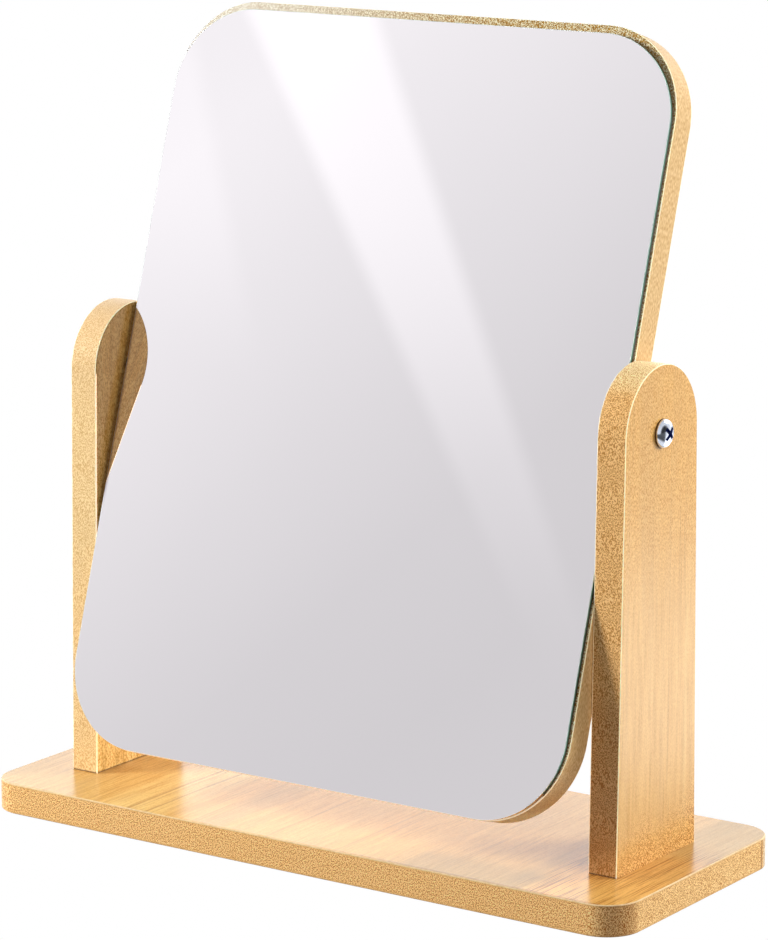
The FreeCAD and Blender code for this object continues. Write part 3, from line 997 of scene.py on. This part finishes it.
def makePivotScrew(s):
    # built upright with its seat at the origin
    clearSelection()
    bpy.ops.mesh.primitive_cylinder_add(
        vertices=s["sides"], radius=s["head"], depth=s["rim"], location=(0, 0, s["rim"] / 2)
    )
    screw = nameNew("pivotScrew")
    settle(screw)
    openMesh(screw, "FACE")
    pick(screw, "FACE", lambda face: face.normal.z > 0.9)
    for step in range(1, s["domeSteps"] + 1):
        before, now = ((step - 1) / s["domeSteps"], step / s["domeSteps"])
        turn = [math.radians(90) * value for value in (before, now)]
        shrink = math.cos(turn[1]) / math.cos(turn[0]) if step < s["domeSteps"] else 0.02
        bpy.ops.mesh.extrude_region_move(
            TRANSFORM_OT_translate={"value": (0, 0, s["dome"] * (math.sin(turn[1]) - math.sin(turn[0])))}
        )
        bpy.ops.transform.resize(value=(shrink, shrink, 1), center_override=(0, 0, 0))
    # the thread: rings of crest and root down the shank
    pick(screw, "FACE", lambda face: face.normal.z < -0.9)
    narrow = s["shank"] / s["head"]
    bpy.ops.mesh.inset(thickness=s["head"] * (1 - narrow))
    bpy.ops.mesh.extrude_region_move(TRANSFORM_OT_translate={"value": (0, 0, -s["pitch"] * 2)})
    turns = int(s["length"] / s["pitch"]) - 3
    inner = 1 - s["thread"] / s["shank"]
    for step in range(turns * 2):
        bpy.ops.mesh.extrude_region_move(TRANSFORM_OT_translate={"value": (0, 0, -s["pitch"] / 2)})
        size = inner if step % 2 == 0 else 1 / inner
        bpy.ops.transform.resize(value=(size, size, 1), center_override=(0, 0, 0))
    rest = s["length"] - s["pitch"] * (2 + turns)
    bpy.ops.mesh.extrude_region_move(TRANSFORM_OT_translate={"value": (0, 0, -rest)})
    bpy.ops.transform.resize(value=(s["tip"], s["tip"], 1), center_override=(0, 0, 0))
    closeMesh()
    top = s["rim"] + s["dome"]
    for turn in s["wingTurns"]:
        clearSelection()
        bpy.ops.mesh.primitive_cube_add(size=1, location=(0, 0, top - s["depth"] / 2 + mm(0.5)))
        wing = nameNew("recessWing")
        wing.scale = (s["span"], s["slot"], s["depth"] + mm(1))
        settle(wing)
        openMesh(wing)
        pick(wing, "VERT", lambda vert: vert.co.z < top - s["depth"] / 2)
        bpy.ops.transform.resize(value=(s["narrow"], s["narrow"], 1), center_override=(0, 0, 0))
        closeMesh()
        wing.rotation_euler = (0, 0, math.radians(turn))
        settle(wing)
        cutWith(screw, wing)
    clearSelection()
    bpy.ops.mesh.primitive_cone_add(
        vertices=24,
        radius1=s["centre"] * s["centreNarrow"],
        radius2=s["centre"],
        depth=s["depth"] + mm(0.4),
        location=(0, 0, top - s["depth"] / 2 - mm(0.2)),
    )
    cutWith(screw, nameNew("recessMiddle"))
    smoothFaces(screw, 40)
    return screw


def fitPivotScrew(screw, name, side, nodeName, s):
    screw.name = name
    screw.rotation_euler = (0, side * math.radians(90), 0)
    settle(screw)
    screw.location = (side * s["seat"], 0, pivotHeight)
    settle(screw)
    top = s["seat"] + s["rim"] + s["dome"]

    def inRecess(centre, normal):
        # a recess face lies below the dome's surface at its distance from the axis
        outwards = math.hypot(centre.y, centre.z - pivotHeight)
        if abs(normal.x) < 0.1 and outwards > s["head"] - mm(0.1):
            return 2
        if outwards > s["span"] / 2 or abs(centre.x) < top - s["depth"] - mm(0.6):
            return 0
        surface = s["seat"] + s["rim"] + s["dome"] * math.sqrt(max(0, 1 - (outwards / s["head"]) ** 2))
        return 1 if surface - abs(centre.x) > s["shallow"] else 0

    # the recess and the rim's side take dark metal: painted shade
    faceSlots(screw, (zinc, recess, rimShade), inRecess)
    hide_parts(nodeName)
    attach(screw, "mirror")


rightScrew = makePivotScrew(screwSet)
clearSelection()
leftScrew = rightScrew.copy()
leftScrew.data = rightScrew.data.copy()
scene.collection.objects.link(leftScrew)
fitPivotScrew(rightScrew, "rightPivotScrew", 1, "right_pivot_screw", screwSet)
fitPivotScrew(leftScrew, "leftPivotScrew", -1, "left_pivot_screw", screwSet)
print("pivot screws made")


# finishes of the solids that stay as they are
keptFinishes = {
    "glass_tape_top": foam,
    "glass_tape_bottom": foam,
    "glass_tape_left": foam,
    "glass_tape_right": foam,
    "left_pivot_insert": brass,
    "right_pivot_insert": brass,
    "left_friction_washer": nylon,
    "right_friction_washer": nylon,
    "left_post_front_screw": steel,
    "left_post_rear_screw": steel,
    "right_post_front_screw": steel,
    "right_post_rear_screw": steel,
}
for name, material in keptFinishes.items():
    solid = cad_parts[name]
    solid.material_slots[0].link = "OBJECT"
    solid.material_slots[0].material = material
print("kept solids finished:", len(keptFinishes))


# the studio: pale floor, soft lights, and a card for the mirror to reflect
studioSet = {
    "floor": 30.0,
    "floorGlow": 1.0,
    "floorMirrored": 0.92,
    "floorNear": ((0.17, 0.9), (0.28, 0.9), (0.38, 0.08), (1.0, 0.12)),
    "floorRing": ((0.16, 0.10), (0.21, 0.45), (0.28, 1.0), (0.50, 1.0), (0.72, 0.45), (1.0, 0.4)),
    "ringGlow": 2.8,
    "ringWay": 145,
    "ringWide": (0.78, 0.92),
    "shade": 0.15,
    "skyLow": 2.05,
    "skyFront": 0.9,
    "skyHigh": 0.72,
    "skyWay": 208,
    "skyWide": (0.45, 0.85),
    "skyRise": (0.4, 0.9),
    "seen": 1.06,
    "dimAzimuth": 98,
    "dimElevation": 0,
    "dimWide": (0.76, 0.90),
    "dim": 0.04,
    "key": {"azimuth": -52, "elevation": 21, "away": 1.2, "size": 0.35, "power": 16.6},
    "rear": {"azimuth": 130, "elevation": 18, "away": 1.3, "size": 0.36, "power": 13.2},
    "side": {"azimuth": 110, "elevation": 15, "away": 1.3, "size": 0.6, "power": 2.2},
    "right": {"azimuth": 78, "elevation": 12, "away": 1.3, "size": 0.6, "power": 2.0},
    "top": {"azimuth": 70, "elevation": 45, "away": 1.3, "size": 0.7, "power": 2.6},
    "glint": {"azimuth": 150, "elevation": 38, "away": 1.3, "size": 0.7, "power": 2.6},
}
aim = Vector((0, 0, mm(130)))


def onSphere(azimuth, elevation, away):
    a, e = math.radians(azimuth), math.radians(elevation)
    return Vector((math.sin(a) * math.cos(e), -math.cos(a) * math.cos(e), math.sin(e))) * away


def facing(tree, way, direction):
    return node(tree, "ShaderNodeVectorMath", {0: way, 1: direction}, operation="DOT_PRODUCT").outputs["Value"]


def makeSoftbox(name, s):
    clearSelection()
    bpy.ops.object.light_add(type="AREA")
    lamp = nameNew(name)
    lamp.data.shape = "SQUARE"
    lamp.data.size = s["size"]
    lamp.data.energy = s["power"]
    direction = onSphere(s["azimuth"], s["elevation"], s["away"])
    lamp.location = aim + direction
    lamp.rotation_euler = direction.to_track_quat("Z", "Y").to_euler()
    return lamp


for name in ("key", "rear", "side", "right", "top", "glint"):
    softbox = makeSoftbox(name + "Softbox", studioSet[name])
    softbox.visible_glossy = name == "glint"  # only this one shows in polished things
    softbox.visible_diffuse = name != "glint"


def makeFloor(s):
    clearSelection()
    bpy.ops.mesh.primitive_plane_add(size=s["floor"])
    floor = nameNew("floor")
    paint, tree, shader = startMaterial("pale floor", Roughness=0.9, Specular_IOR_Level=0.0)
    shader.inputs["Base Color"].default_value = (0, 0, 0, 1)
    shader.inputs["Emission Color"].default_value = (1, 1, 1, 1)
    # an evenly lit table top: glossy faces see it bright behind the object and dim in front
    spot = node(tree, "ShaderNodeTexCoord").outputs["Object"]
    reach = node(tree, "ShaderNodeVectorMath", {0: spot}, operation="LENGTH").outputs["Value"]
    way = node(tree, "ShaderNodeVectorMath", {0: spot}, operation="NORMALIZE").outputs["Vector"]
    behind = softStep(tree, facing(tree, way, onSphere(s["ringWay"], 0, 1)), *s["ringWide"])
    ring = product(tree, ramp(tree, reach, s["floorRing"]), s["ringGlow"])
    around = mixLevels(tree, behind, ramp(tree, reach, s["floorNear"]), ring)
    path = node(tree, "ShaderNodeLightPath").outputs
    # the mirror itself, the only perfectly smooth face, sees an even pale floor
    mirrored = mixLevels(tree, path["Is Singular Ray"], around, s["floorMirrored"])
    glow = mixLevels(tree, path["Is Camera Ray"], mirrored, s["floorGlow"])
    tree.links.new(glow, shader.inputs["Emission Strength"])
    floor.data.materials.append(paint)
    floor.visible_diffuse = False  # the floor stays white and the object keeps its shade


makeFloor(studioSet)


def makeAir(s):
    world = bpy.data.worlds.new("studio air")
    scene.world = world
    world.use_nodes = True
    tree = world.node_tree
    shade = tree.nodes["Background"]
    shade.inputs["Color"].default_value = (1, 1, 1, 1)
    shade.inputs["Strength"].default_value = s["shade"]
    way = node(tree, "ShaderNodeTexCoord").outputs["Generated"]
    height = node(tree, "ShaderNodeSeparateXYZ", {"Vector": way}).outputs["Z"]
    behind = softStep(tree, facing(tree, way, onSphere(s["skyWay"], 0, 1)), *s["skyWide"])
    low = mixLevels(tree, behind, s["skyFront"], s["skyLow"])
    sky = mixLevels(tree, softStep(tree, height, *s["skyRise"]), low, s["skyHigh"])
    # one side of the room is dim, which only polished things show
    dimWay = onSphere(s["dimAzimuth"], s["dimElevation"], 1)
    dim = mixLevels(tree, softStep(tree, facing(tree, way, dimWay), *s["dimWide"]), 1.0, s["dim"])
    path = node(tree, "ShaderNodeLightPath").outputs
    level = mixLevels(tree, path["Is Camera Ray"], product(tree, sky, dim), s["seen"])
    seen = node(tree, "ShaderNodeBackground", {"Color": (1, 1, 1, 1), "Strength": level})
    both = node(tree, "ShaderNodeMixShader", {0: path["Is Diffuse Ray"]})
    tree.links.new(seen.outputs[0], both.inputs[1])
    tree.links.new(shade.outputs[0], both.inputs[2])
    tree.links.new(both.outputs[0], tree.nodes["World Output"].inputs["Surface"])


makeAir(studioSet)


# what the mirror sees: a grey card that grows lighter, with a window streak and a fainter one beside it
cardSet = {
    "from": (0, -0.0082, 0.1733),
    "azimuth": -35.99,
    "elevation": 17.44,
    "away": 1.5,
    "size": (1.1, 1.2),
    "fade": 0.16,
    "greys": ((0.0, 0.66), (0.25, 0.695), (0.5, 0.775), (1.0, 0.95)),
    "slant": 30,
    "reach": 0.215,
    "tint": (1.0, 0.972, 1.0, 1.0),
    "streak": 0.15,
    "streakLeft": (0.9645, 0.055),
    "streakRight": (0.790, 0.126),
    "streakEnd": (-0.175, 0.15),
    "faint": 0.05,
    "faintRight": (0.597, -0.0845),
    "faintEnd": (-0.03, 0.11),
    "soft": 0.012,
}


def makeCard(s):
    clearSelection()
    bpy.ops.mesh.primitive_plane_add(size=1)
    card = nameNew("reflectorCard")
    card.scale = (*s["size"], 1)
    settle(card)
    direction = onSphere(s["azimuth"], s["elevation"], 1)
    across = Vector((-direction.y, direction.x, 0)).normalized()
    up = direction.cross(across)
    frameOf = Matrix((across, up, across.cross(up))).transposed().to_4x4()
    card.matrix_world = Matrix.Translation(Vector(s["from"]) + direction * s["away"]) @ frameOf
    paint = bpy.data.materials.new("reflector card")
    paint.use_nodes = True
    tree = paint.node_tree
    tree.nodes.clear()
    parts = axes(tree)
    u, v = parts["X"], parts["Y"]

    def beside(line, side):
        # 1 on one side of a slanted line, 0 on the other
        slope, offset = line
        reach = sums(tree, "MULTIPLY_ADD", v, slope, u)
        return softStep(tree, reach, offset - side * s["soft"], offset + side * s["soft"])

    slant = math.radians(s["slant"])
    slide = sums(tree, "MULTIPLY_ADD", v, math.sin(slant), product(tree, u, -math.cos(slant)))
    spread = node(tree, "ShaderNodeMapRange", {"Value": slide, 1: -s["reach"], 2: s["reach"]}).outputs[0]
    streak = product(
        tree, beside(s["streakLeft"], 1), beside(s["streakRight"], -1), softStep(tree, v, *s["streakEnd"])
    )
    faint = product(tree, beside(s["faintRight"], -1), softStep(tree, v, *s["faintEnd"]))
    total = sums(tree, "MULTIPLY_ADD", streak, s["streak"], ramp(tree, spread, s["greys"]))
    total = sums(tree, "MULTIPLY_ADD", faint, s["faint"], total)
    glow = node(tree, "ShaderNodeEmission", {"Color": s["tint"], "Strength": total})
    clear = node(tree, "ShaderNodeBsdfTransparent")
    # the card fades out towards its four sides
    masks = [
        softStep(tree, sums(tree, "ABSOLUTE", part), size / 2, size / 2 - s["fade"])
        for part, size in zip((u, v), s["size"])
    ]
    both = node(tree, "ShaderNodeMixShader", {0: product(tree, *masks)})
    tree.links.new(clear.outputs[0], both.inputs[1])
    tree.links.new(glow.outputs[0], both.inputs[2])
    output = node(tree, "ShaderNodeOutputMaterial")
    tree.links.new(both.outputs[0], output.inputs["Surface"])
    card.data.materials.append(paint)
    card.visible_camera = False
    card.visible_diffuse = False
    card.visible_shadow = False


makeCard(cardSet)
scene.view_settings.view_transform = "Standard"
print("studio lit")


cameraSet = {
    "azimuth": 34.488,
    "elevation": 11.994,
    "away": mm(1511.08),
    "aimAcross": mm(3.75),
    "aimHeight": mm(142.314),
    "lens": 154.32,
}


def makeCamera(s):
    a = math.radians(s["azimuth"])
    target = Vector((math.cos(a) * s["aimAcross"], math.sin(a) * s["aimAcross"], s["aimHeight"]))
    direction = onSphere(s["azimuth"], s["elevation"], s["away"])
    clearSelection()
    bpy.ops.object.camera_add()
    camera = nameNew("studioCamera")
    camera.location = target + direction
    camera.rotation_euler = direction.to_track_quat("Z", "Y").to_euler()
    camera.data.sensor_width = 36
    camera.data.lens = s["lens"]
    camera.data.clip_start = 0.05
    camera.data.clip_end = 50
    scene.camera = camera
    return camera


makeCamera(cameraSet)
print("camera placed")
